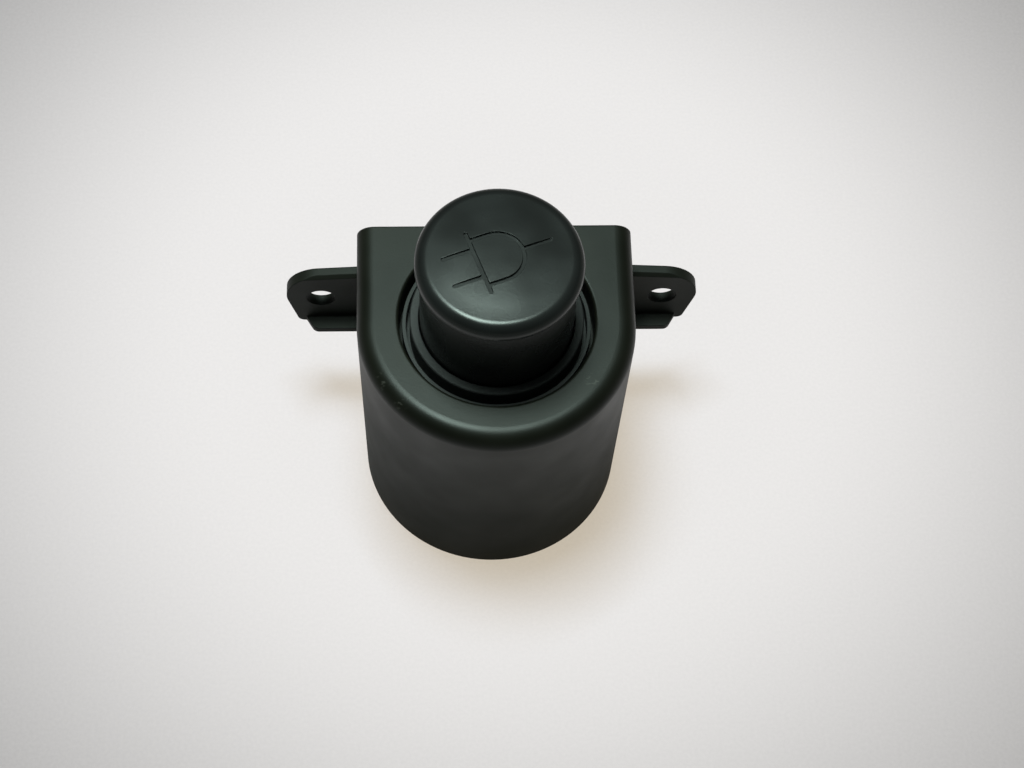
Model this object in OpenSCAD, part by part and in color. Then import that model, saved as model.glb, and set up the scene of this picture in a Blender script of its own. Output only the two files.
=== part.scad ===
// A 12 V accessory socket in a D-shaped moulded housing with two screw ears and a round plug.
// The origin is the middle of the bounding box, at the plane that the housing stands on.
// +X runs along the two ears, +Y points to the flat mounting back, +Z points out of the socket.

/* [Housing] */
// Height of the housing over its standing rim
housing_h = 39.5; // [38:0.1:50]
// Half width of the housing where its side would meet the top face
housing_r = 18.85; // [18.2:0.05:24]
// Distance from the socket's axis to the flat mounting back
back_reach = 14.3; // [14:0.1:20]
// Draft by which the housing's outside narrows to its standing rim, in degrees
draft = 1.0; // [0:0.1:2]
// Draft by which the hollow opens to the standing rim, in degrees
core_draft = 0.3; // [0:0.1:1]
// Radius between the side and the top face
top_fillet = 2.4; // [0.5:0.1:3]
// Thickness of the side walls at the standing rim, and of the back
wall = 1.9; // [1.2:0.1:2.2]
// Thickness of the top wall
top_wall = 2.4; // [1.5:0.1:3.2]
// Height of the thinned lip round the standing rim
rim_h = 1.2; // [0.5:0.1:2]
// Thickness of the thinned lip round the standing rim
rim_t = 1.3; // [0.8:0.1:1.6]

/* [Ears] */
// Overall width over the two ears
ears_w = 58.2; // [55:0.1:70]
// Thickness of an ear
ear_t = 1.6; // [1:0.1:3]
// Height of the ears' lower edge
ear_z = 16.5; // [8:0.1:21]
// Height of an ear from its lower to its upper edge
ear_h = 11.9; // [10:0.1:16]
// Radius of the ear's upper corner
ear_r = 5.0; // [4:0.1:6]
// Radius of the ear's lower corner
ear_low_r = 1.0; // [0.8:0.05:2]
// Angle at which the ear's end leans in below its upper corner
ear_lean = 14.0; // [0:0.5:20]
// Angle at which the ear's upper edge falls outwards
ear_fall = 4.5; // [0:0.5:8]
// Chamfer of the ear's upper front edge
ear_chamfer = 0.5; // [0.1:0.05:0.6]
// Distance between the two screw holes
hole_spacing = 48.5; // [46:0.1:60]
// Diameter of a screw hole
hole_d = 4.0; // [3:0.1:5]
// Height of the screw holes above the ears' lower edge
hole_rise = 6.3; // [5:0.1:8]
// Reach of the shelf in front of the ear's plate
shelf_reach = 2.0; // [1.5:0.1:4]
// Thickness of the shelf
shelf_t = 1.0; // [0.8:0.1:2]
// Rounding between the shelf and the plate
shelf_fillet = 0.3; // [0.2:0.1:1.6]
// How far the shelf's end slants in to its front edge
shelf_slant = 1.2; // [0.4:0.1:2]
// Rounding of the shelf's front corner
shelf_corner = 1.1; // [0.4:0.1:1.5]
// Distance from the ear's lower corner in to the shelf's end
shelf_inset = 0.2; // [0:0.1:3]

/* [Socket] */
// Bore of the socket
bore_d = 21.0; // [20.8:0.05:21.4]
// Depth of the can's floor below the top face
can_depth = 30.1; // [26:0.1:30.5]
// Thickness of the can's sheet
can_t = 0.45; // [0.3:0.05:0.6]
// Outer radius of the can's bottom corner
can_corner = 1.4; // [1:0.1:2]
// Width and height of the can's two latch windows
window_w = 6.0; // [4:0.5:7]
// Width of the contact tongues that are lanced in the can
tongue_w = 4.4; // [3:0.1:6]
// Length of the contact tongues
tongue_l = 9.0; // [6:0.5:9]
// Width of the lanced slots
lance_w = 0.7; // [0.5:0.1:1]
// Width of the bezel's flat rim
bezel_w = 1.2; // [1.05:0.05:1.25]
// Thickness of the bezel's lip over the edge of the can
bezel_lip = 1.0; // [0.6:0.1:1.5]
// Chamfer of the bezel's mouth
bezel_chamfer = 0.1; // [0.05:0.05:0.4]

/* [Retaining sleeve] */
// Outer diameter of the sleeve's visible ring
ring_d = 25.4; // [25.1:0.1:25.8]
// Thickness of the sleeve's visible ring
ring_t = 0.5; // [0.4:0.05:0.65]
// Depth of the ring below the top face
ring_drop = 1.75; // [1:0.05:2]
// Depth of the groove inside the ring
ring_groove = 2.2; // [0.8:0.1:2.4]
// Thickness of the sleeve's flange under the groove
flange_t = 0.95; // [0.6:0.05:1.5]
// Thickness of the sleeve's tube
sleeve_t = 0.95; // [0.7:0.05:1]
// Height of the snap barbs under the housing's collar
barb_h = 2.2; // [1.5:0.1:3]
// Reach of the snap barbs
barb_reach = 0.8; // [0.4:0.05:1]

/* [Hole and collar] */
// Diameter of the hole in the top face
mouth_d = 26.4; // [26.2:0.1:27]
// Rounding of the hole's edge
mouth_round = 0.4; // [0.2:0.05:0.6]
// Outer diameter of the collar that hangs from the top wall
collar_d = 28.0; // [27.6:0.1:28.4]
// Length of the collar below the top face
collar_l = 20.6; // [16:0.1:21]
// Thickness of the ribs round the collar
rib_t = 1.4; // [1:0.1:2]

/* [Contacts] */
// Thickness of the moulded insulator in the can
insulator_t = 2.2; // [1.6:0.1:3]
// Diameter of the hole in the can's floor
floor_hole_d = 7.0; // [6:0.1:8]
// Thickness of the centre contact's strip
strip_t = 0.5; // [0.3:0.05:0.8]
// Width of the centre contact's strip
strip_w = 6.0; // [5:0.1:7]
// Inner bend radius of the strip
strip_bend = 1.3; // [1:0.05:1.5]
// Rise of the contact's dome
dome_h = 0.7; // [0.4:0.05:1]
// Diameter of the centre rivet
rivet_d = 2.6; // [2:0.1:3]
// Diameter of the negative rivet
side_rivet_d = 2.0; // [1.6:0.1:2.4]
// Thickness of the rivets' heads
head_t = 0.7; // [0.4:0.05:0.8]
// Distance of the negative rivet from the axis
side_rivet_x = 6.4; // [6.2:0.1:6.8]

/* [Connector] */
// Thickness of the connector's plate under the can
plate_t = 1.4; // [1:0.1:1.6]
// Length of the shroud
shroud_l = 6.0; // [5:0.1:6.4]
// Width of the shroud along X
shroud_w = 18.6; // [18.2:0.1:19]
// Depth of the shroud along Y
shroud_d = 10.6; // [10:0.1:11]
// Thickness of the shroud's walls
shroud_wall = 1.2; // [0.8:0.1:1.2]
// Corner radius of the shroud
shroud_r = 1.8; // [1.4:0.1:2.2]
// Thickness of the terminals' sheet
blade_t = 0.8; // [0.6:0.05:1]
// Width of a terminal blade
blade_w = 6.3; // [4.8:0.1:7]
// Distance of a blade's middle from the axis
blade_x = 4.0; // [3.6:0.1:4.2]
// Clearance of the blades' tips above the shroud's mouth
blade_recess = 0.8; // [0.5:0.1:2]

/* [Plug] */
// Height of the plug's face above the housing's top face
plug_rise = 15.9; // [12:0.1:20]
// Diameter of the plug's lip
lip_d = 22.1; // [21.2:0.1:23]
// Thickness of the plug's lip
lip_t = 2.6; // [2.4:0.1:4]
// Rise of the plug's domed face in its middle
face_dome = 0.35; // [0.1:0.05:1]
// Rounding of the lip's upper edge
lip_round = 1.7; // [1:0.1:1.8]
// Rounding of the lip's lower edge
lip_under = 0.4; // [0.2:0.05:0.6]
// Diameter of the plug's neck and barrel
barrel_d = 20.7; // [20.2:0.05:20.75]
// Wall of the barrel
barrel_t = 1.6; // [1:0.1:1.8]
// Thickness of the plug's end wall
cap_t = 3.0; // [2.5:0.1:4]
// Width of the slots between the barrel's spring fingers
slot_w = 2.4; // [1:0.1:3]
// Length of the slots
slot_l = 17.0; // [8:0.5:24]
// Chamfer at the end of the barrel
end_chamfer = 0.8; // [0.3:0.05:1]

/* [Clearances] */
// Gap between mouldings that are pushed together
fit_gap = 0.05; // [0.02:0.01:0.1]
// Gap between the sleeve's tube and the collar
sleeve_gap = 0.1; // [0.05:0.05:0.2]
// Gap between the plug's end and the insulator it stands on
stop_gap = 0.1; // [0.05:0.05:0.3]

/* [Hidden] */
$fn = 96;
// Slight overlap that makes cuts pass through a face
cut = 1;
bore_r = bore_d / 2;
mouth_r = mouth_d / 2;
collar_r = collar_d / 2;
ring_r = ring_d / 2;
barrel_r = barrel_d / 2;
lip_r = lip_d / 2;

// Side of the housing: a line that leans in to the standing rim
function wall_x(z) = housing_r - (housing_h - z) * tan(draft);
// Side of the hollow: a line that leans out to the standing rim
function core_x(z) = wall_x(0) - wall - z * tan(core_draft);
fillet_z = housing_h - top_fillet;
fillet_x = wall_x(fillet_z) - top_fillet / cos(draft);
core_z = housing_h - top_wall;
core_fillet = 0.6;

// The box of the whole part is centred on Y = 0
front_reach = fillet_x + top_fillet;
axis_y = (front_reach - back_reach) / 2;

// Heights in the socket, from the top face down
ring_z = housing_h - ring_drop;
groove_z = ring_z - ring_groove;
ledge_z = groove_z - flange_t;
collar_z = housing_h - collar_l;
can_floor_z = housing_h - can_depth;
can_z = can_floor_z - can_t;
bezel_z = groove_z;
bezel_lip_z = housing_h - bezel_lip;
can_rim_z = bezel_lip_z - fit_gap;
insulator_z = can_floor_z + insulator_t;
plate_z = can_z - plate_t;
shroud_z = plate_z - shroud_l;
barrel_z = insulator_z + stop_gap;
plug_z = housing_h + plug_rise;

// Radii in the socket, from the bore out
can_r = bore_r + can_t;
sleeve_in_r = can_r + fit_gap;
sleeve_out_r = sleeve_in_r + sleeve_t;
collar_in_r = sleeve_out_r + sleeve_gap;
bezel_r = bore_r + bezel_w;
barb_r = collar_in_r + barb_reach;
insulator_r = bore_r - fit_gap;

// Latches between the sleeve and the can's windows
window_h = window_w;
window_rise = 6;
window_z = collar_z + window_rise;
latch_gap = 0.3;
latch_w = window_w - 2 * latch_gap;
latch_h = 2.4;
latch_r = sleeve_in_r - can_t + fit_gap;
latch_l = 9;
latch_top = window_z + latch_l;
latch_low = window_z - 1;
latch_slot = 1.0;

// Snap fingers of the sleeve
sleeve_z = collar_z - barb_h;
barb_top = collar_z - fit_gap;
barb_flat = 0.5;
barb_root = sleeve_in_r + sleeve_t / 2;
barb_angle = 34;
barb_turns = [45, 135, 225, 315];
finger_slot = 1.2;
finger_l = 9;
slot_margin = 3;
slot_turn = barb_angle / 2 + slot_margin;

// Ear outline in the ear's own plane: X out from the socket's axis, Y up from the lower edge
ear_x = ears_w / 2;
ear_root = housing_r - wall / 2;
ear_c = [ear_x - ear_r, ear_h - ear_r];
ear_n = [cos(ear_lean), -sin(ear_lean)];
low_y = ear_low_r;
low_x = (ear_c * ear_n + ear_r - ear_low_r - low_y * ear_n[1]) / ear_n[0];
low_c = [low_x, low_y];
fall_end = ear_c + ear_r * [sin(ear_fall), cos(ear_fall)];
fall_start = [ear_root, fall_end[1] + (fall_end[0] - ear_root) * tan(ear_fall)];
ear_front_y = back_reach - ear_t;
shelf_y = ear_front_y - shelf_reach;
shelf_x = low_x - shelf_inset;
shelf_front_x = shelf_x - shelf_slant;
shelf_root = 0.3;
chamfer_w = sqrt(2) * ear_chamfer;

// Ribs between the collar and the shell, by their angle about the axis
rib_turns = [0, 35, 145, 180, 215, 250, 290, 325];
rib_rise = 3;
rib_z = collar_z + rib_rise;
rib_root = (collar_in_r + collar_r) / 2;

// Lanced tongues in the can
tongue_rise = 4;
tongue_z = can_floor_z + tongue_rise;

// Strip contact
strip_x = 3.6;
leaf_x = 4.2;
leaf_end = 2.4;
leaf_z = insulator_z + strip_t + 2 * strip_bend;
dome_r = 1.5;
dome_ball = (dome_r * dome_r + dome_h * dome_h) / (2 * dome_h);

// Rivets
rivet_r = rivet_d / 2;
side_rivet_r = side_rivet_d / 2;
rivet_brim = 0.9;
side_brim = 0.5;
rivet_head_r = rivet_r + rivet_brim;
side_head_r = side_rivet_r + side_brim;
head_cone = 0.3;
foot_z = plate_z - blade_t;

// Connector
plate_r = can_r - can_corner;
blade_tip_z = shroud_z + blade_recess;
blade_bend = 0.5;
foot_margin = 0.2;
foot_end = rivet_head_r + foot_margin;
side_foot_end = side_rivet_x + side_head_r;
blade_hole_r = 0.8;
blade_hole_rise = 2.6;
tip_chamfer = 0.9;
latch_rib_w = 4;
latch_rib_t = 0.9;
latch_rib_h = 1.4;

// Plug
face_r = lip_r - lip_round;
face_ball = (face_r * face_r + face_dome * face_dome) / (2 * face_dome);
face_fn = 720;
barrel_in_r = barrel_r - barrel_t;
hollow_top = plug_z - cap_t;
hollow_r = 1.0;
finger_turns = [45, 135];

// Colours, as seen
moulding = [0.13, 0.14, 0.13];
moulding_dark = [0.07, 0.08, 0.08];
steel = [0.62, 0.63, 0.62];
brass = [0.72, 0.58, 0.30];
insulator = [0.30, 0.18, 0.10];

// Shapes used by several pieces

// Moves its children from the socket's axis to the part's own origin
module at_axis() {
    translate([0, axis_y, 0]) children();
}

module ring_wall(r_in, r_out, z0, z1) {
    rotate_extrude() translate([r_in, z0]) square([r_out - r_in, z1 - z0]);
}

// Section of a cup or disc whose lower corner is rounded
module cup_section(r, z0, z1, corner) {
    polygon([[0, z0], [r - corner, z0], [r, z0 + corner], [r, z1], [0, z1]]);
    translate([r - corner, z0 + corner]) circle(r = corner);
}

// Half section of the housing's outside, with its top fillet
module side_section() {
    touch_x = fillet_x + top_fillet * cos(draft);
    touch_z = fillet_z - top_fillet * sin(draft);
    polygon([[0, 0], [wall_x(0), 0], [touch_x, touch_z], [fillet_x, housing_h], [0, housing_h]]);
    translate([fillet_x, fillet_z]) circle(r = top_fillet);
}

// Half section of the hollow, with its inner fillet
module core_section() {
    centre_z = core_z - core_fillet;
    centre_x = core_x(centre_z) - core_fillet / cos(core_draft);
    touch_x = centre_x + core_fillet * cos(core_draft);
    touch_z = centre_z + core_fillet * sin(core_draft);
    polygon([[0, -cut], [core_x(-cut), -cut], [touch_x, touch_z], [centre_x, core_z],
        [0, core_z]]);
    translate([centre_x, centre_z]) circle(r = core_fillet);
}

// Half section of a band between two heights, set in from the outside
module side_strip(inset, z0, z1) {
    polygon([[0, z0], [wall_x(z0) - inset, z0], [wall_x(z1) - inset, z1], [0, z1]]);
}

// Sweeps a half section round the front and straight on to the back
module d_sweep(reach) {
    rotate([0, 0, 180]) rotate_extrude(angle = 180) children();
    translate([0, reach, 0]) rotate([90, 0, 0]) linear_extrude(height = reach) {
        children();
        mirror([1, 0]) children();
    }
}

// What is cut off to round the edge of a hole
module mouth_cut(r, z, round_r) {
    rotate_extrude() difference() {
        translate([r - cut, z - round_r]) square([round_r + cut, round_r + cut]);
        translate([r + round_r, z - round_r]) circle(r = round_r);
    }
}

// A rivet with a flat cone head at each end
module rivet(r, head_r, z_low, z_high) {
    translate([0, 0, z_low]) cylinder(r = r, h = z_high - z_low);
    translate([0, 0, z_high]) cylinder(r1 = head_r, r2 = head_r - head_cone, h = head_t);
    translate([0, 0, z_low - head_t]) cylinder(r1 = head_r - head_cone, r2 = head_r, h = head_t);
}

// The housing

module shell() {
    difference() {
        d_sweep(back_reach) side_section();
        d_sweep(back_reach - wall) core_section();
        d_sweep(back_reach - rim_t) side_strip(rim_t, -cut, rim_h);
    }
}

// Ribs that tie the collar to the inside of the shell
module ribs() {
    intersection() {
        d_sweep(back_reach - wall / 2) side_strip(wall / 2, rib_z, housing_h - top_wall / 2);
        for (turn = rib_turns) rotate([0, 0, turn])
            translate([rib_root, -rib_t / 2, 0]) cube([housing_r, rib_t, housing_h]);
    }
}

// Outline of an ear's plate in its own plane
module ear_outline() {
    polygon([[ear_root, 0], [low_x, 0], low_c + ear_low_r * ear_n, ear_c + ear_r * ear_n,
        fall_end, fall_start]);
    translate(ear_c) circle(r = ear_r);
    translate(low_c) circle(r = ear_low_r);
}

module ear_plate() {
    translate([0, back_reach, ear_z]) rotate([90, 0, 0])
        linear_extrude(height = ear_t) ear_outline();
}

// Shelf along the lower edge, with a slanted end and a fillet to the plate
module ear_shelf() {
    intersection() {
        translate([shelf_x, ear_front_y, ear_z]) rotate([0, -90, 0])
            linear_extrude(height = shelf_x - ear_root) shelf_section();
        translate([0, 0, ear_z - cut]) linear_extrude(height = ear_h) shelf_outline();
    }
}

// X up from the ear's lower edge, Y back from the front of the ear's plate
module shelf_section() {
    translate([0, -shelf_reach]) square([shelf_t, shelf_reach + shelf_root]);
    difference() {
        translate([0, -shelf_fillet])
            square([shelf_t + shelf_fillet, shelf_fillet + shelf_root]);
        translate([shelf_t + shelf_fillet, -shelf_fillet]) circle(r = shelf_fillet);
    }
}

// The shelf from above: its slanted end and its front corner, rounded between the two edges
module shelf_outline() {
    half_turn = (90 - atan2(shelf_slant, shelf_reach)) / 2;
    reach = shelf_corner * tan(half_turn);
    end = [shelf_slant, shelf_reach] / norm([shelf_slant, shelf_reach]);
    polygon([[ear_root, shelf_y], [shelf_front_x - reach, shelf_y],
        [shelf_front_x, shelf_y] + reach * end, [shelf_x, ear_front_y],
        [shelf_x, ear_front_y + shelf_root], [ear_root, ear_front_y + shelf_root]]);
    translate([shelf_front_x - reach, shelf_y + shelf_corner]) circle(r = shelf_corner);
}

module ear() {
    difference() {
        union() {
            ear_plate();
            ear_shelf();
        }
        translate([hole_spacing / 2, back_reach + cut, ear_z + hole_rise]) rotate([90, 0, 0])
            cylinder(d = hole_d, h = ear_t + 2 * cut);
        translate([fall_end[0], ear_front_y, ear_z + fall_end[1]]) rotate([0, ear_fall, 0])
            rotate([45, 0, 0]) cube([ear_x, chamfer_w, chamfer_w], center = true);
    }
}

module housing() color(moulding) at_axis() {
    difference() {
        union() {
            shell();
            ribs();
            ring_wall(collar_in_r, collar_r, collar_z, housing_h - top_wall / 2);
        }
        translate([0, 0, collar_z - cut]) cylinder(r = collar_in_r, h = housing_h);
        translate([0, 0, ledge_z]) cylinder(r = mouth_r, h = housing_h);
        mouth_cut(mouth_r, housing_h, mouth_round);
    }
    ear();
    mirror([1, 0, 0]) ear();
}

// The sleeve that holds the socket in the housing

module sleeve_barb() {
    rotate([0, 0, -barb_angle / 2]) rotate_extrude(angle = barb_angle)
        polygon([[barb_root, sleeve_z], [sleeve_out_r, sleeve_z], [barb_r, barb_top - barb_flat],
            [barb_r, barb_top], [barb_root, barb_top]]);
}

module sleeve_latch() {
    intersection() {
        ring_wall(latch_r, barb_root, window_z + latch_gap, window_z + latch_gap + latch_h);
        translate([0, -latch_w / 2, 0]) cube([collar_r, latch_w, housing_h]);
    }
}

// The U-shaped cut that frees a latch
module latch_cut() {
    side = latch_w / 2 + latch_slot;
    for (y = [-side, side - latch_slot])
        translate([bore_r, y, latch_low]) cube([sleeve_t * 3, latch_slot, latch_top - latch_low]);
    translate([bore_r, -side, latch_low - latch_slot])
        cube([sleeve_t * 3, 2 * side, latch_slot]);
}

module retaining_sleeve() color(moulding_dark) at_axis() {
    difference() {
        union() {
            rotate_extrude() polygon([[sleeve_in_r, sleeve_z], [sleeve_out_r, sleeve_z],
                [sleeve_out_r, ledge_z], [ring_r, ledge_z], [ring_r, ring_z],
                [ring_r - ring_t, ring_z], [ring_r - ring_t, groove_z], [sleeve_in_r, groove_z]]);
            for (turn = barb_turns) rotate([0, 0, turn]) sleeve_barb();
        }
        for (turn = barb_turns, side = [-slot_turn, slot_turn]) rotate([0, 0, turn + side])
            translate([bore_r, -finger_slot / 2, sleeve_z - cut])
                cube([sleeve_t * 3, finger_slot, finger_l + cut]);
        for (turn = [0, 180]) rotate([0, 0, turn]) latch_cut();
    }
    for (turn = [0, 180]) rotate([0, 0, turn]) sleeve_latch();
}

// The socket

module socket_bezel() color(moulding_dark) at_axis() {
    edge = 0.15;
    skirt_r = can_r + fit_gap;
    rotate_extrude() polygon([[bore_r, bezel_lip_z], [skirt_r, bezel_lip_z], [skirt_r, bezel_z],
        [bezel_r, bezel_z], [bezel_r, housing_h - edge], [bezel_r - edge, housing_h],
        [bore_r + bezel_chamfer, housing_h], [bore_r, housing_h - bezel_chamfer]]);
}

// The three cuts that free a tongue in the can's wall
module lance() {
    side = tongue_w / 2 + lance_w;
    for (y = [-side, side - lance_w])
        translate([bore_r - cut, y, tongue_z]) cube([can_t + 2 * cut, lance_w, tongue_l]);
    translate([bore_r - cut, -side, tongue_z - lance_w])
        cube([can_t + 2 * cut, 2 * side, lance_w]);
}

module socket_can() color(steel) at_axis() {
    difference() {
        rotate_extrude() difference() {
            cup_section(can_r, can_z, can_rim_z, can_corner);
            cup_section(bore_r, can_floor_z, can_rim_z + cut, can_corner - can_t);
        }
        translate([0, 0, can_z - cut]) cylinder(d = floor_hole_d, h = can_t + 2 * cut);
        translate([-side_rivet_x, 0, can_z - cut])
            cylinder(r = side_rivet_r + fit_gap, h = can_t + 2 * cut);
        for (turn = [0, 180]) rotate([0, 0, turn])
            translate([bore_r - cut, -window_w / 2, window_z])
                cube([can_t + 2 * cut, window_w, window_h]);
        for (turn = [90, 270]) rotate([0, 0, turn]) lance();
    }
}

module base_insulator() color(insulator) at_axis() {
    boss_r = floor_hole_d / 2 - fit_gap;
    foot = can_corner - can_t;
    pocket_gap = 0.2;
    pocket_r = side_head_r + pocket_gap;
    pocket_h = head_t + pocket_gap;
    difference() {
        rotate_extrude() polygon([[rivet_r + fit_gap, can_z], [boss_r, can_z],
            [boss_r, can_floor_z], [insulator_r - foot, can_floor_z],
            [insulator_r, can_floor_z + foot], [insulator_r, insulator_z],
            [rivet_r + fit_gap, insulator_z]]);
        translate([-side_rivet_x, 0, can_floor_z - cut]) cylinder(r = pocket_r, h = pocket_h + cut);
    }
}

module centre_contact() color(brass) at_axis() {
    difference() {
        union() {
            translate([0, strip_w / 2, insulator_z]) rotate([90, 0, 0])
                linear_extrude(height = strip_w) strip_section();
            dome(leaf_z + strip_t);
        }
        dome(leaf_z);
        translate([0, 0, insulator_z - cut]) cylinder(r = rivet_r + fit_gap, h = strip_t + 2 * cut);
    }
}

// The folded strip: its foot, its bend and its leaf
module strip_section() {
    bend_y = strip_t + strip_bend;
    translate([-strip_x, 0]) square([strip_x + leaf_x, strip_t]);
    translate([-leaf_end, bend_y + strip_bend]) square([leaf_end + leaf_x, strip_t]);
    translate([leaf_x, bend_y]) difference() {
        circle(r = strip_bend + strip_t);
        circle(r = strip_bend);
        translate([-2 * bend_y, -2 * bend_y]) square([2 * bend_y, 4 * bend_y]);
    }
}

// A pressed dome whose foot lies at height z
module dome(z) {
    intersection() {
        translate([0, 0, z + dome_h - dome_ball]) sphere(r = dome_ball);
        translate([-dome_ball, -dome_ball, z - strip_t / 2])
            cube([2 * dome_ball, 2 * dome_ball, dome_ball + strip_t]);
    }
}

module contact_rivet() color(brass) at_axis()
    rivet(rivet_r, rivet_head_r, foot_z, insulator_z + strip_t);

// The connector under the can

module rounded_box(w, d, r, z0, z1) {
    translate([0, 0, z0]) linear_extrude(height = z1 - z0) {
        square([w - 2 * r, d], center = true);
        square([w, d - 2 * r], center = true);
        for (x = [r - w / 2, w / 2 - r], y = [r - d / 2, d / 2 - r])
            translate([x, y]) circle(r = r);
    }
}

module connector_body() color(moulding) at_axis() {
    inner_r = shroud_r - shroud_wall;
    difference() {
        union() {
            translate([0, 0, plate_z]) cylinder(r = plate_r, h = plate_t);
            rounded_box(shroud_w, shroud_d, shroud_r, shroud_z, plate_z + plate_t / 2);
            translate([-latch_rib_w / 2, -shroud_d / 2 - latch_rib_t, shroud_z + latch_rib_h])
                cube([latch_rib_w, 2 * latch_rib_t, latch_rib_h]);
        }
        rounded_box(shroud_w - 2 * shroud_wall, shroud_d - 2 * shroud_wall, inner_r,
            shroud_z - cut, plate_z);
        translate([0, 0, plate_z - cut]) cylinder(r = rivet_r + fit_gap, h = plate_t + 2 * cut);
        translate([-side_rivet_x, 0, plate_z - cut])
            cylinder(r = side_rivet_r + fit_gap, h = plate_t + 2 * cut);
    }
}

// A terminal's side view: a foot that runs inwards from the blade, and a blade that hangs down
module terminal_section(foot_in) {
    outer = blade_bend + blade_t;
    edge_x = blade_x + blade_t / 2;
    translate([foot_in, foot_z]) square([edge_x - outer - foot_in, blade_t]);
    translate([edge_x - blade_t, blade_tip_z]) square([blade_t, plate_z - outer - blade_tip_z]);
    translate([edge_x - outer, plate_z - outer]) intersection() {
        difference() {
            circle(r = outer);
            circle(r = blade_bend);
        }
        square([outer, outer]);
    }
}

// What is cut from the tip of a blade, and its locking hole
module blade_cuts() {
    for (side = [-1, 1]) translate([blade_x, side * blade_w / 2, blade_tip_z])
        rotate([45, 0, 0]) cube([2 * blade_t, tip_chamfer, tip_chamfer], center = true);
    translate([blade_x - blade_t, 0, blade_tip_z + blade_hole_rise]) rotate([0, 90, 0])
        cylinder(r = blade_hole_r, h = 2 * blade_t);
}

module terminal(foot_in) {
    difference() {
        translate([0, blade_w / 2, 0]) rotate([90, 0, 0])
            linear_extrude(height = blade_w) terminal_section(foot_in);
        blade_cuts();
    }
}

module positive_terminal() color(brass) at_axis() {
    difference() {
        terminal(-foot_end);
        translate([0, 0, foot_z - cut]) cylinder(r = rivet_r + fit_gap, h = blade_t + 2 * cut);
    }
}

// The foot of this one runs outwards, so it is the same blade turned about its own middle
module negative_terminal() color(brass) at_axis() {
    difference() {
        translate([-2 * blade_x, 0, 0]) terminal(2 * blade_x - side_foot_end);
        translate([-side_rivet_x, 0, foot_z - cut])
            cylinder(r = side_rivet_r + fit_gap, h = blade_t + 2 * cut);
    }
}

module negative_rivet() color(steel) at_axis() translate([-side_rivet_x, 0, 0])
    rivet(side_rivet_r, side_head_r, foot_z, can_floor_z);

// The plug

module plug_section() {
    under_z = plug_z - lip_t;
    difference() {
        union() {
            polygon([[0, under_z], [lip_r - lip_under, under_z], [lip_r, under_z + lip_under],
                [lip_r, plug_z - lip_round], [face_r, plug_z], [0, plug_z]]);
            translate([lip_r - lip_under, under_z + lip_under]) circle(r = lip_under);
            translate([face_r, plug_z - lip_round]) circle(r = lip_round);
            intersection() {
                translate([0, plug_z + face_dome - face_ball]) circle(r = face_ball, $fn = face_fn);
                translate([0, plug_z - lip_round]) square([face_r, 2 * lip_round]);
            }
            polygon([[0, barrel_z], [barrel_r - end_chamfer, barrel_z],
                [barrel_r, barrel_z + end_chamfer], [barrel_r, under_z + lip_under],
                [0, under_z + lip_under]]);
        }
        polygon([[-cut, barrel_z - cut], [barrel_in_r, barrel_z - cut],
            [barrel_in_r, hollow_top - hollow_r], [barrel_in_r - hollow_r, hollow_top],
            [-cut, hollow_top]]);
    }
}

// A slot right across the barrel, with round ends
module finger_slots() {
    top = barrel_z + slot_l - slot_w / 2;
    translate([-barrel_r - cut, -slot_w / 2, barrel_z - cut])
        cube([2 * barrel_r + 2 * cut, slot_w, top - barrel_z + cut]);
    translate([-barrel_r - cut, 0, top]) rotate([0, 90, 0])
        cylinder(d = slot_w, h = 2 * barrel_r + 2 * cut);
}

module plug() color(moulding_dark) at_axis() {
    difference() {
        rotate_extrude() plug_section();
        for (turn = finger_turns) rotate([0, 0, turn]) finger_slots();
    }
}

housing();
retaining_sleeve();
socket_bezel();
socket_can();
base_insulator();
centre_contact();
contact_rivet();
connector_body();
positive_terminal();
negative_terminal();
negative_rivet();
plug();
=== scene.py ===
"""A 12 V accessory socket in its moulded housing, dressed for a close view from above.

The CAD model gives every piece its size and place. This script gives the pieces their finishes,
engraves the plug's face, and adds the floor, the light and the camera.
"""
import math

import bmesh
import bpy
from bpy.props import FloatProperty, FloatVectorProperty, PointerProperty, StringProperty
from bpy.types import Operator, Panel, PropertyGroup
from mathutils import Matrix, Vector


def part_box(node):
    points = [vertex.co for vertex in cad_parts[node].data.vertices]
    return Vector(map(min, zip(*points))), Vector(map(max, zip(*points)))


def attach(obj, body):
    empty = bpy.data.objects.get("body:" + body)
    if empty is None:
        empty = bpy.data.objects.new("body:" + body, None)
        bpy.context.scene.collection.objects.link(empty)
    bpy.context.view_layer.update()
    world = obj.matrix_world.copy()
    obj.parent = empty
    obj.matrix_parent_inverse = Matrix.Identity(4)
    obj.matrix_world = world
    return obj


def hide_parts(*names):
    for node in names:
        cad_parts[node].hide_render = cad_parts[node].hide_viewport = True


bl_info = {
    "name": "Accessory socket",
    "version": (1, 0, 0),
    "blender": (4, 5, 0),
    "location": "View3D > Sidebar > Socket",
    "description": "Dresses a 12 V socket, its housing and its plug, and sets the stage",
    "category": "Object",
}

MM = 0.001

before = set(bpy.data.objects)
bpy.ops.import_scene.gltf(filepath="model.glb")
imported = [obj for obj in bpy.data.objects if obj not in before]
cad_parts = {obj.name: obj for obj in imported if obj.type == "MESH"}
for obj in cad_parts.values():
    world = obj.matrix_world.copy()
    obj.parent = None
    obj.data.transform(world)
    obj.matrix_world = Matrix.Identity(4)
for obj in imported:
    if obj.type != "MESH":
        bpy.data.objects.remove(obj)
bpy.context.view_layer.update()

# The socket's axis, from the plug that stands in it
PLUG_LOW, PLUG_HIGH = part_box("plug")
AXIS = Vector(((PLUG_LOW.x + PLUG_HIGH.x) / 2, (PLUG_LOW.y + PLUG_HIGH.y) / 2, 0.0))
HOUSING_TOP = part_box("housing")[1].z / MM

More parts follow.
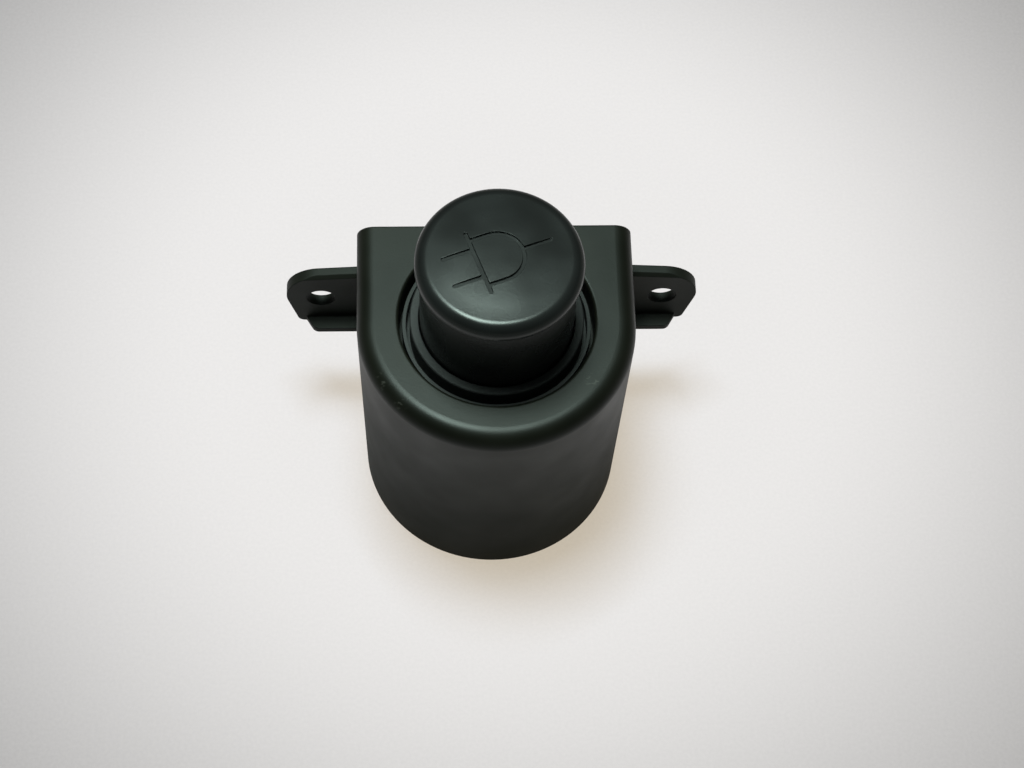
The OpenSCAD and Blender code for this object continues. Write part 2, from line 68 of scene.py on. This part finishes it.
# Where the fillet round the top face is scuffed, in mm from the axis, and how far
SCUFFS = (((-15.2, -9.0, HOUSING_TOP - 1.0), 1.6), ((-12.8, -12.4, HOUSING_TOP - 0.8), 1.2),
          ((12.5, -9.5, HOUSING_TOP), 1.5))
SCUFF_COLOUR = "3A3D37"
SCRATCH_MM, SCRATCH_STRETCH = 0.35, (0.4, 1.0, 0.7)

# Where the housing's sides get coarser than its top face: a lower and an upper height in mm,
# and the roughness that is added at the lower one
COARSER = ((4.0, HOUSING_TOP - 5.0, 0.32), (HOUSING_TOP - 3.0, HOUSING_TOP - 0.3, 0.07))

# The dark plastics mirror their surroundings in this colour, and vary in patches of this size
# in mm
MIRROR_TINT = "ECFFF6"
PATCH_MM = 9.0

# The floor's half side, in metres. Its card is brightest about a point, and painted shade
# darkens it between two distances, in mm
FLOOR_HALF = 1.5
PAINTED_SHADE_MIDDLE = (3.5, 22.0, 0.0)
PAINTED_SHADE_START, PAINTED_SHADE_END = 42.0, 128.0

# The card's fibres: their size in mm, and how much they darken it
FIBRE_MM, FIBRE_SHADE = 0.5, 0.04

# The overhead lamp's side and place, in metres
LAMP_SIDE = 0.27
LAMP_PLACE = (-0.075, 0.12, 0.85)

# The surroundings: the low sky turns into the light's own colour, and the bright band above the
# floor into the sky, each between two heights of a direction. Behind the camera all of it is
# weaker, and it gains its full strength between two depths of a direction
LOW_SKY, HORIZON = "2E302C", "8C8A86"
SKY_HEIGHTS, BAND_HEIGHTS, DEPTHS = (0.25, 0.9), (0.04, 0.28), (-0.7, 0.3)
NEAR_STRENGTH = 0.25

# Faces that meet at more than this angle keep a sharp edge. Corners of the CAD mesh that are
# closer than this, in mm, are one
SHARP_ANGLE = math.radians(30)
MERGE_MM = 0.001

# The plug sign, on a grid of eight squares: its straight strokes, from and to, and then the
# centre and the radius of its half ring
SIGN_GRID = 8
SIGN_STROKES = (((-1.2, 1.9), (-1.2, 4.0)), ((1.2, 1.9), (1.2, 4.0)), ((-2.6, 1.7), (2.6, 1.7)),
                ((-2.0, 1.7), (-2.0, 0.2)), ((2.0, 1.7), (2.0, 0.2)), ((0.0, -1.8), (0.0, -4.0)))
SIGN_ARC = ((0.0, 0.2), 2.0)
CAP_STEPS, ARC_STEPS = 12, 32


# Colours and nodes

def hex_linear(code):
    """An sRGB colour such as "2B2D2A" as the linear colour that Blender takes."""
    channels = []
    for start in (0, 2, 4):
        value = int(code[start:start + 2], 16) / 255
        low = value <= 0.04045
        channels.append(value / 12.92 if low else ((value + 0.055) / 1.055) ** 2.4)
    return (*channels, 1.0)


def add_node(tree, kind, links=None, **settings):
    """Adds a node, sets its attributes and its named inputs, and links what feeds it."""
    node = tree.nodes.new(kind)
    for name, value in settings.items():
        if name == "inputs":
            for socket, default in value.items():
                node.inputs[socket].default_value = default
        else:
            setattr(node, name, value)
    for socket, source in (links or {}).items():
        tree.links.new(source, node.inputs[socket])
    return node


def new_material(name):
    """A material with an empty tree, its shader and its output."""
    material = bpy.data.materials.new(name)
    material.use_nodes = True
    tree = material.node_tree
    tree.nodes.clear()
    output = add_node(tree, "ShaderNodeOutputMaterial")
    shader = add_node(tree, "ShaderNodeBsdfPrincipled")
    tree.links.new(shader.outputs["BSDF"], output.inputs["Surface"])
    return material, tree, shader


def per_mm(size_mm):
    """Scale of a pattern on Object coordinates whose features are size_mm apart."""
    return 1.0 / (size_mm * MM)


def grain(tree, size_mm, detail=3.0, stretch=None):
    """Noise on Object coordinates with features of a real size, stretched if asked."""
    place = add_node(tree, "ShaderNodeTexCoord").outputs["Object"]
    if stretch:
        place = add_node(tree, "ShaderNodeMapping", {"Vector": place},
                         inputs={"Scale": stretch}).outputs["Vector"]
    return add_node(tree, "ShaderNodeTexNoise", {"Vector": place},
                    inputs={"Scale": per_mm(size_mm), "Detail": detail,
                            "Roughness": 0.55}).outputs["Fac"]


def spread(tree, source, low, high, to_low, to_high, kind="LINEAR"):
    """Maps the range low to high of a value onto another range."""
    return add_node(tree, "ShaderNodeMapRange", {"Value": source}, clamp=True,
                    interpolation_type=kind,
                    inputs={"From Min": low, "From Max": high,
                            "To Min": to_low, "To Max": to_high}).outputs["Result"]


def blend_colours(tree, factor, first, second):
    """Mixes two sRGB hex colours, or node outputs, by a factor."""
    mix = add_node(tree, "ShaderNodeMix", {"Factor": factor}, data_type="RGBA")
    for socket, colour in (("A", first), ("B", second)):
        place = [i for i in mix.inputs if i.name == socket and i.type == "RGBA"][0]
        if isinstance(colour, str):
            place.default_value = hex_linear(colour)
        else:
            tree.links.new(colour, place)
    return [o for o in mix.outputs if o.type == "RGBA"][0]


def relief(tree, shader, layers, edge_mm):
    """Rounds the edges and adds bump layers, each given as (height source, height in mm)."""
    normal = add_node(tree, "ShaderNodeBevel", samples=6,
                      inputs={"Radius": edge_mm * MM}).outputs["Normal"]
    for height, depth_mm in layers:
        normal = add_node(tree, "ShaderNodeBump", {"Height": height, "Normal": normal},
                          inputs={"Strength": 1.0, "Distance": depth_mm * MM}).outputs["Normal"]
    tree.links.new(normal, shader.inputs["Normal"])


def scuff(tree, place, radius_mm):
    """Fine scratches that fade out from a point given in mm from the socket's axis."""
    here = add_node(tree, "ShaderNodeTexCoord").outputs["Object"]
    away = add_node(tree, "ShaderNodeVectorMath", {0: here}, operation="DISTANCE",
                    inputs={1: AXIS + Vector(place) * MM})
    near = spread(tree, away.outputs["Value"], 0.3 * radius_mm * MM, radius_mm * MM, 1.0, 0.0)
    marks = spread(tree, grain(tree, SCRATCH_MM, 3.0, stretch=SCRATCH_STRETCH), 0.56, 0.66,
                   0.0, 0.7)
    return add_node(tree, "ShaderNodeMath", {0: near, 1: marks},
                    operation="MULTIPLY").outputs["Value"]


# Finishes

def coarser_down(tree, source):
    """Adds to a roughness what the sides have over the top face, more towards the standing rim."""
    here = add_node(tree, "ShaderNodeTexCoord").outputs["Object"]
    height = add_node(tree, "ShaderNodeSeparateXYZ", {"Vector": here}).outputs["Z"]
    for low, high, extra in COARSER:
        more = spread(tree, height, low * MM, high * MM, extra, 0.0)
        source = add_node(tree, "ShaderNodeMath", {0: source, 1: more},
                          operation="ADD").outputs["Value"]
    return source


def moulded_plastic(name, colour, worn, grain_mm, depth_mm, roughness, edge_mm,
                      scuffs=(), coarse_sides=False, level=0.2):
    """Black plastic from a spark-eroded mould: satin, handled in patches, with a fine grain."""
    material, tree, shader = new_material(name)
    fine = grain(tree, grain_mm, 4.0)
    broad = grain(tree, PATCH_MM, 2.0)
    handled = spread(tree, broad, 0.35, 0.7, 0.0, 1.0)
    body = blend_colours(tree, handled, colour, worn)
    for place, radius_mm in scuffs:
        body = blend_colours(tree, scuff(tree, place, radius_mm), body, SCUFF_COLOUR)
    tree.links.new(body, shader.inputs["Base Color"])
    gloss = spread(tree, broad, 0.3, 0.7, roughness - 0.04, roughness + 0.05)
    tree.links.new(coarser_down(tree, gloss) if coarse_sides else gloss,
                   shader.inputs["Roughness"])
    shader.inputs["IOR"].default_value = 1.5
    shader.inputs["Specular IOR Level"].default_value = level
    shader.inputs["Specular Tint"].default_value = hex_linear(MIRROR_TINT)
    relief(tree, shader, [(broad, 0.02), (fine, depth_mm)], edge_mm)
    return material


def pressed_metal(name, colour, tarnish, roughness):
    """Strip metal from a press tool: bright, rolled in one direction, dulled in patches."""
    material, tree, shader = new_material(name)
    rolled = grain(tree, 0.25, 2.0, stretch=(1.0, 1.0, 0.08))
    patches = grain(tree, 3.0, 3.0)
    dull = spread(tree, patches, 0.45, 0.75, 0.0, 1.0)
    tree.links.new(blend_colours(tree, dull, colour, tarnish), shader.inputs["Base Color"])
    tree.links.new(spread(tree, rolled, 0.3, 0.7, roughness - 0.06, roughness + 0.08),
                   shader.inputs["Roughness"])
    shader.inputs["Metallic"].default_value = 1.0
    relief(tree, shader, [(rolled, 0.003)], 0.08)
    return material


def phenolic(name, colour, fleck):
    """Phenolic moulding: brown, semi-matt, with the flecks of its wood-flour filler."""
    material, tree, shader = new_material(name)
    flecks = spread(tree, grain(tree, 0.4, 5.0), 0.5, 0.7, 0.0, 1.0)
    tree.links.new(blend_colours(tree, flecks, colour, fleck), shader.inputs["Base Color"])
    shader.inputs["Roughness"].default_value = 0.45
    relief(tree, shader, [(flecks, 0.004)], 0.1)
    return material


def paint_node(name, material):
    """Gives a CAD node one material."""
    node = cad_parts[name]
    node.data.materials.clear()
    node.data.materials.append(material)


# Settings

class StageSettings(PropertyGroup):
    floor: StringProperty(name="Floor", description="sRGB hex colour that the card scatters",
                          default="777D8D")
    # Painted glow: the card emits this colour, which stands in for fill light and lightens and
    # warms its shadows
    painted_glow: StringProperty(name="Glow", description="sRGB hex colour of the light through the card",
                         default="C4B9A7")
    # Painted shade: the card's colour and glow are darkened by this much far from the middle
    fade: FloatProperty(name="Fade", description="How much darker the card is far out",
                        default=0.58)
    focal: FloatProperty(name="Focal length", description="Lens, on a 36 mm sensor",
                         default=84.85, unit="CAMERA")
    eye: FloatVectorProperty(name="Eye", description="Camera's place from the axis, in mm",
                             default=(-10.76, -157.37, 321.54), size=3)
    aim: FloatVectorProperty(name="Aim", description="Point in the view's middle, in mm",
                             default=(2.67, 0.67, 18.9), size=3)
    roll: FloatProperty(name="Roll", description="Turn of the camera about its view",
                        default=math.radians(3.787), subtype="ANGLE")
    overhead: FloatProperty(name="Overhead", description="Power of the soft overhead light",
                            default=11.4, unit="POWER")
    sky: FloatProperty(name="Surroundings", description="Strength of the surroundings",
                       default=0.27)
    tint: StringProperty(name="Tint", description="sRGB hex colour of the light",
                         default="F7FFFD")


class PlugSettings(PropertyGroup):
    stroke: FloatProperty(name="Stroke", description="Width of the engraved line",
                          default=0.55 * MM, unit="LENGTH")
    depth: FloatProperty(name="Depth", description="Depth of the engraved line",
                         default=0.42 * MM, unit="LENGTH")
    size: FloatProperty(name="Sign size", description="Length of the engraved sign",
                        default=14.0 * MM, unit="LENGTH")
    turn: FloatProperty(name="Turn", description="How far the plug is turned in the socket",
                        default=math.radians(110), subtype="ANGLE")
    colour: StringProperty(name="Colour", description="sRGB hex colour", default="131514")
    worn: StringProperty(name="Worn colour", description="Where it is handled",
                         default="171A19")


class HousingSettings(PropertyGroup):
    colour: StringProperty(name="Colour", description="sRGB hex colour", default="0C0E09")
    worn: StringProperty(name="Worn colour", description="Where it is handled",
                         default="10120C")
    grain: FloatProperty(name="Grain", description="Size of the mould's grain, in mm",
                         default=0.18)


# Operators

class MakeStage(Operator):
    """Builds the floor, the light and the camera"""
    bl_idname = "socket.make_stage"
    bl_label = "Stage"

    def execute(self, context):
        settings = context.scene.socket_stage
        self.make_floor(settings)
        self.make_light(settings)
        self.make_camera(context, settings)
        context.scene.view_settings.view_transform = "Standard"
        return {"FINISHED"}

    def make_floor(self, settings):
        mesh = bpy.data.meshes.new("floor")
        shape = bmesh.new()
        bmesh.ops.create_grid(shape, x_segments=1, y_segments=1, size=FLOOR_HALF)
        shape.to_mesh(mesh)
        shape.free()
        floor = bpy.data.objects.new("floor", mesh)
        bpy.context.scene.collection.objects.link(floor)
        mesh.materials.append(self.card(settings))

    def card(self, settings):
        """Matt card with a painted glow that stands in for fill light, also in its shadows;
        painted shade makes it fall off towards the edges.
        """
        material, tree, shader = new_material("matt_card_with_painted_glow")
        place = add_node(tree, "ShaderNodeTexCoord").outputs["Object"]
        away = add_node(tree, "ShaderNodeVectorMath", {0: place}, operation="DISTANCE",
                        inputs={1: Vector(PAINTED_SHADE_MIDDLE) * MM})
        # Painted shade: the card's colour and glow are darkened between two distances from the
        # middle
        edge = spread(tree, away.outputs["Value"], PAINTED_SHADE_START * MM, PAINTED_SHADE_END * MM,
                      0.0, settings.fade, "SMOOTHSTEP")
        fibre = spread(tree, grain(tree, FIBRE_MM, 3.0), 0.3, 0.7, 0.0, FIBRE_SHADE)
        painted_shade_and_fibres = add_node(tree, "ShaderNodeMath", {0: edge, 1: fibre}, operation="ADD")
        # The card scatters its floor colour and emits its painted glow, light that stands in for
        # fill light
        for colour, socket in ((settings.floor, "Base Color"), (settings.painted_glow, "Emission Color")):
            tree.links.new(blend_colours(tree, painted_shade_and_fibres.outputs["Value"], colour, "000000"),
                           shader.inputs[socket])
        shader.inputs["Emission Strength"].default_value = 1.0
        shader.inputs["Roughness"].default_value = 0.85
        return material

    def make_light(self, settings):
        world = bpy.data.worlds.new("room")
        bpy.context.scene.world = world
        world.use_nodes = True
        tree = world.node_tree
        tree.nodes.clear()
        output = add_node(tree, "ShaderNodeOutputWorld")
        direction = add_node(tree, "ShaderNodeTexCoord").outputs["Generated"]
        parts = add_node(tree, "ShaderNodeSeparateXYZ", {"Vector": direction})
        rise = spread(tree, parts.outputs["Z"], *SKY_HEIGHTS, 0.0, 1.0)
        depth = spread(tree, parts.outputs["Y"], *DEPTHS, NEAR_STRENGTH, 1.0)
        haze = spread(tree, parts.outputs["Z"], *BAND_HEIGHTS, 1.0, 0.0)
        colour = blend_colours(tree, haze, blend_colours(tree, rise, LOW_SKY, settings.tint),
                               HORIZON)
        power = spread(tree, haze, 0.0, 1.0, settings.sky, 1.0)
        strength = add_node(tree, "ShaderNodeMath", {0: depth, 1: power},
                            operation="MULTIPLY").outputs["Value"]
        backdrop = add_node(tree, "ShaderNodeBackground",
                            {"Color": colour, "Strength": strength})
        tree.links.new(backdrop.outputs["Background"], output.inputs["Surface"])
        lamp = bpy.data.lights.new("overhead", "AREA")
        lamp.shape = "RECTANGLE"
        lamp.size = LAMP_SIDE
        lamp.size_y = LAMP_SIDE
        lamp.energy = settings.overhead
        lamp.color = hex_linear(settings.tint)[:3]
        light = bpy.data.objects.new("overhead", lamp)
        light.location = LAMP_PLACE
        light.rotation_euler = (-Vector(light.location)).to_track_quat("-Z", "Y").to_euler()
        bpy.context.scene.collection.objects.link(light)

    def make_camera(self, context, settings):
        eye = Vector(settings.eye) * MM + AXIS
        view = (Vector(settings.aim) * MM + AXIS - eye).normalized()
        side = view.cross(Vector((0, 0, 1))).normalized()
        upright = Matrix((side, side.cross(view), -view)).transposed()
        turned = Matrix.Rotation(settings.roll, 3, -view) @ upright
        data = bpy.data.cameras.new("view")
        data.lens = settings.focal
        data.sensor_width = 36.0
        data.clip_start = 0.01
        camera = bpy.data.objects.new("view", data)
        camera.matrix_world = Matrix.Translation(eye) @ turned.to_4x4()
        context.scene.collection.objects.link(camera)
        context.scene.camera = camera


class DressHousing(Operator):
    """Finishes the moulded housing"""
    bl_idname = "socket.dress_housing"
    bl_label = "Housing"

    def execute(self, context):
        settings = context.scene.socket_housing
        paint_node("housing", moulded_plastic(
            "satin_black_polyamide", settings.colour, settings.worn, grain_mm=settings.grain,
            depth_mm=0.012, roughness=0.4, edge_mm=0.25, scuffs=SCUFFS, coarse_sides=True))
        return {"FINISHED"}


class DressRings(Operator):
    """Finishes the sleeve's ring and the textured bezel round the plug"""
    bl_idname = "socket.dress_rings"
    bl_label = "Rings"

    def execute(self, context):
        paint_node("retaining_sleeve", moulded_plastic(
            "dark_polyamide", "151817", "1B1E1D", grain_mm=0.2, depth_mm=0.008, roughness=0.4,
            edge_mm=0.1))
        paint_node("socket_bezel", moulded_plastic(
            "eroded_black_polyamide", "1C1F1E", "2A2D2C", grain_mm=0.28, depth_mm=0.05,
            roughness=0.5, edge_mm=0.1))
        return {"FINISHED"}


class DressContacts(Operator):
    """Finishes the can, the contacts, the insulator and the connector"""
    bl_idname = "socket.dress_contacts"
    bl_label = "Contacts"

    def execute(self, context):
        paint_node("socket_can", pressed_metal("nickel_plated_steel", "C9C8C3", "A9A7A0", 0.3))
        brass = pressed_metal("pressed_brass", "D2B06A", "A98A50", 0.32)
        for name in ("centre_contact", "contact_rivet", "positive_terminal",
                     "negative_terminal"):
            paint_node(name, brass)
        paint_node("negative_rivet", pressed_metal("plated_rivet_steel", "BDBDBB", "94938E",
                                                   0.35))
        paint_node("base_insulator", phenolic("brown_phenolic", "4A2A18", "6B4228"))
        paint_node("connector_body", moulded_plastic(
            "connector_polyamide", "1A1B1A", "202220", grain_mm=0.2, depth_mm=0.008,
            roughness=0.45, edge_mm=0.15))
        return {"FINISHED"}


class EngravePlug(Operator):
    """Engraves a plain plug sign in the face of the plug and finishes the plug"""
    bl_idname = "socket.engrave_plug"
    bl_label = "Plug"

    def execute(self, context):
        settings = context.scene.socket_plug
        plug = self.merged_copy()
        strokes = self.sign(settings)
        for stroke in strokes:
            cut = plug.modifiers.new("engraving", "BOOLEAN")
            cut.operation = "DIFFERENCE"
            cut.solver = "EXACT"
            cut.object = stroke
        context.view_layer.update()
        evaluated = plug.evaluated_get(context.evaluated_depsgraph_get())
        engraved = bpy.data.meshes.new_from_object(evaluated)
        plug.modifiers.clear()
        plug.data = engraved
        for stroke in strokes:
            bpy.data.objects.remove(stroke)
        engraved.materials.clear()
        engraved.materials.append(moulded_plastic(
            "semi_gloss_black_abs", settings.colour, settings.worn, grain_mm=0.3, depth_mm=0.006,
            roughness=0.26, edge_mm=0.08, level=0.24))
        engraved.shade_smooth()
        self.keep_edges(engraved)
        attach(plug, "plug")
        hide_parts("plug")
        return {"FINISHED"}

    def merged_copy(self):
        """The CAD plug's mesh with its loose triangles joined."""
        shape = bmesh.new()
        shape.from_mesh(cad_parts["plug"].data)
        bmesh.ops.remove_doubles(shape, verts=shape.verts, dist=MERGE_MM * MM)
        mesh = bpy.data.meshes.new("engraved_plug")
        shape.to_mesh(mesh)
        shape.free()
        plug = bpy.data.objects.new("engraved_plug", mesh)
        bpy.context.scene.collection.objects.link(plug)
        return plug

    def keep_edges(self, mesh):
        """Marks the edges between faces that meet at a wide angle as sharp."""
        shape = bmesh.new()
        shape.from_mesh(mesh)
        for edge in shape.edges:
            edge.smooth = edge.calc_face_angle(0.0) < SHARP_ANGLE
        shape.to_mesh(mesh)
        shape.free()

    def sign(self, settings):
        """One cutter for each stroke: two prongs, a bar, the body's sides, its end and a lead."""
        half = settings.stroke / 2
        unit = settings.size / SIGN_GRID
        place = Matrix.Translation(AXIS + Vector((0, 0, PLUG_HIGH.z)))
        place = place @ Matrix.Rotation(settings.turn, 4, "Z")
        place = place @ Matrix.Diagonal((1, 1, settings.depth, 1))
        strokes = [self.cutter(place, self.line, half, Vector(start) * unit, Vector(end) * unit)
                   for start, end in SIGN_STROKES]
        centre, radius = SIGN_ARC
        strokes.append(self.cutter(place, self.arc, half, Vector(centre) * unit, radius * unit))
        return strokes

    def cutter(self, place, draw, *values):
        """An object with one stroke, put in its place on the plug's face."""
        shape = bmesh.new()
        draw(shape, *values)
        bmesh.ops.transform(shape, matrix=place, verts=shape.verts)
        bmesh.ops.recalc_face_normals(shape, faces=shape.faces)
        mesh = bpy.data.meshes.new("stroke")
        shape.to_mesh(mesh)
        shape.free()
        stroke = bpy.data.objects.new("stroke", mesh)
        bpy.context.scene.collection.objects.link(stroke)
        return stroke

    def line(self, shape, half, start, end):
        """A straight stroke with round ends."""
        along = (end - start).normalized() * half
        rim = []
        for centre, first in ((end, along), (start, -along)):
            for step in range(CAP_STEPS + 1):
                turned = Matrix.Rotation(math.pi * (step / CAP_STEPS - 0.5), 2) @ first
                rim.append(centre + turned)
        self.block(shape, rim)

    def arc(self, shape, half, centre, radius):
        """The lower half of a ring."""
        there = range(ARC_STEPS + 1)
        rim = []
        for reach, steps in ((radius + half, there), (radius - half, reversed(there))):
            for step in steps:
                angle = -math.pi * step / ARC_STEPS
                rim.append(centre + reach * Vector((math.cos(angle), math.sin(angle))))
        self.block(shape, rim)

    def block(self, shape, rim):
        """Raises an outline from 1 below to 1 above the face, in engraving depths."""
        face = shape.faces.new([shape.verts.new((*place, -1)) for place in rim])
        walls = bmesh.ops.extrude_face_region(shape, geom=[face])["geom"]
        raised = [part for part in walls if isinstance(part, bmesh.types.BMVert)]
        bmesh.ops.translate(shape, vec=(0, 0, 2), verts=raised)


class SOCKET_PT_panel(Panel):
    bl_label = "Socket"
    bl_space_type = "VIEW_3D"
    bl_region_type = "UI"
    bl_category = "Socket"

    def draw(self, context):
        for operator in OPERATORS:
            self.layout.operator(operator.bl_idname)
        for name in ("socket_stage", "socket_housing", "socket_plug"):
            settings = getattr(context.scene, name)
            for prop in settings.bl_rna.properties:
                if prop.identifier not in ("rna_type", "name"):
                    self.layout.prop(settings, prop.identifier)


OPERATORS = (MakeStage, DressHousing, DressRings, DressContacts, EngravePlug)
CLASSES = (StageSettings, PlugSettings, HousingSettings, *OPERATORS, SOCKET_PT_panel)


def register():
    for cls in CLASSES:
        bpy.utils.register_class(cls)
    bpy.types.Scene.socket_stage = PointerProperty(type=StageSettings)
    bpy.types.Scene.socket_housing = PointerProperty(type=HousingSettings)
    bpy.types.Scene.socket_plug = PointerProperty(type=PlugSettings)


def unregister():
    for name in ("socket_stage", "socket_housing", "socket_plug"):
        delattr(bpy.types.Scene, name)
    for cls in reversed(CLASSES):
        bpy.utils.unregister_class(cls)


def main():
    register()
    for operator in OPERATORS:
        group, name = operator.bl_idname.split(".")
        getattr(getattr(bpy.ops, group), name)()


if __name__ == "__main__":
    main()
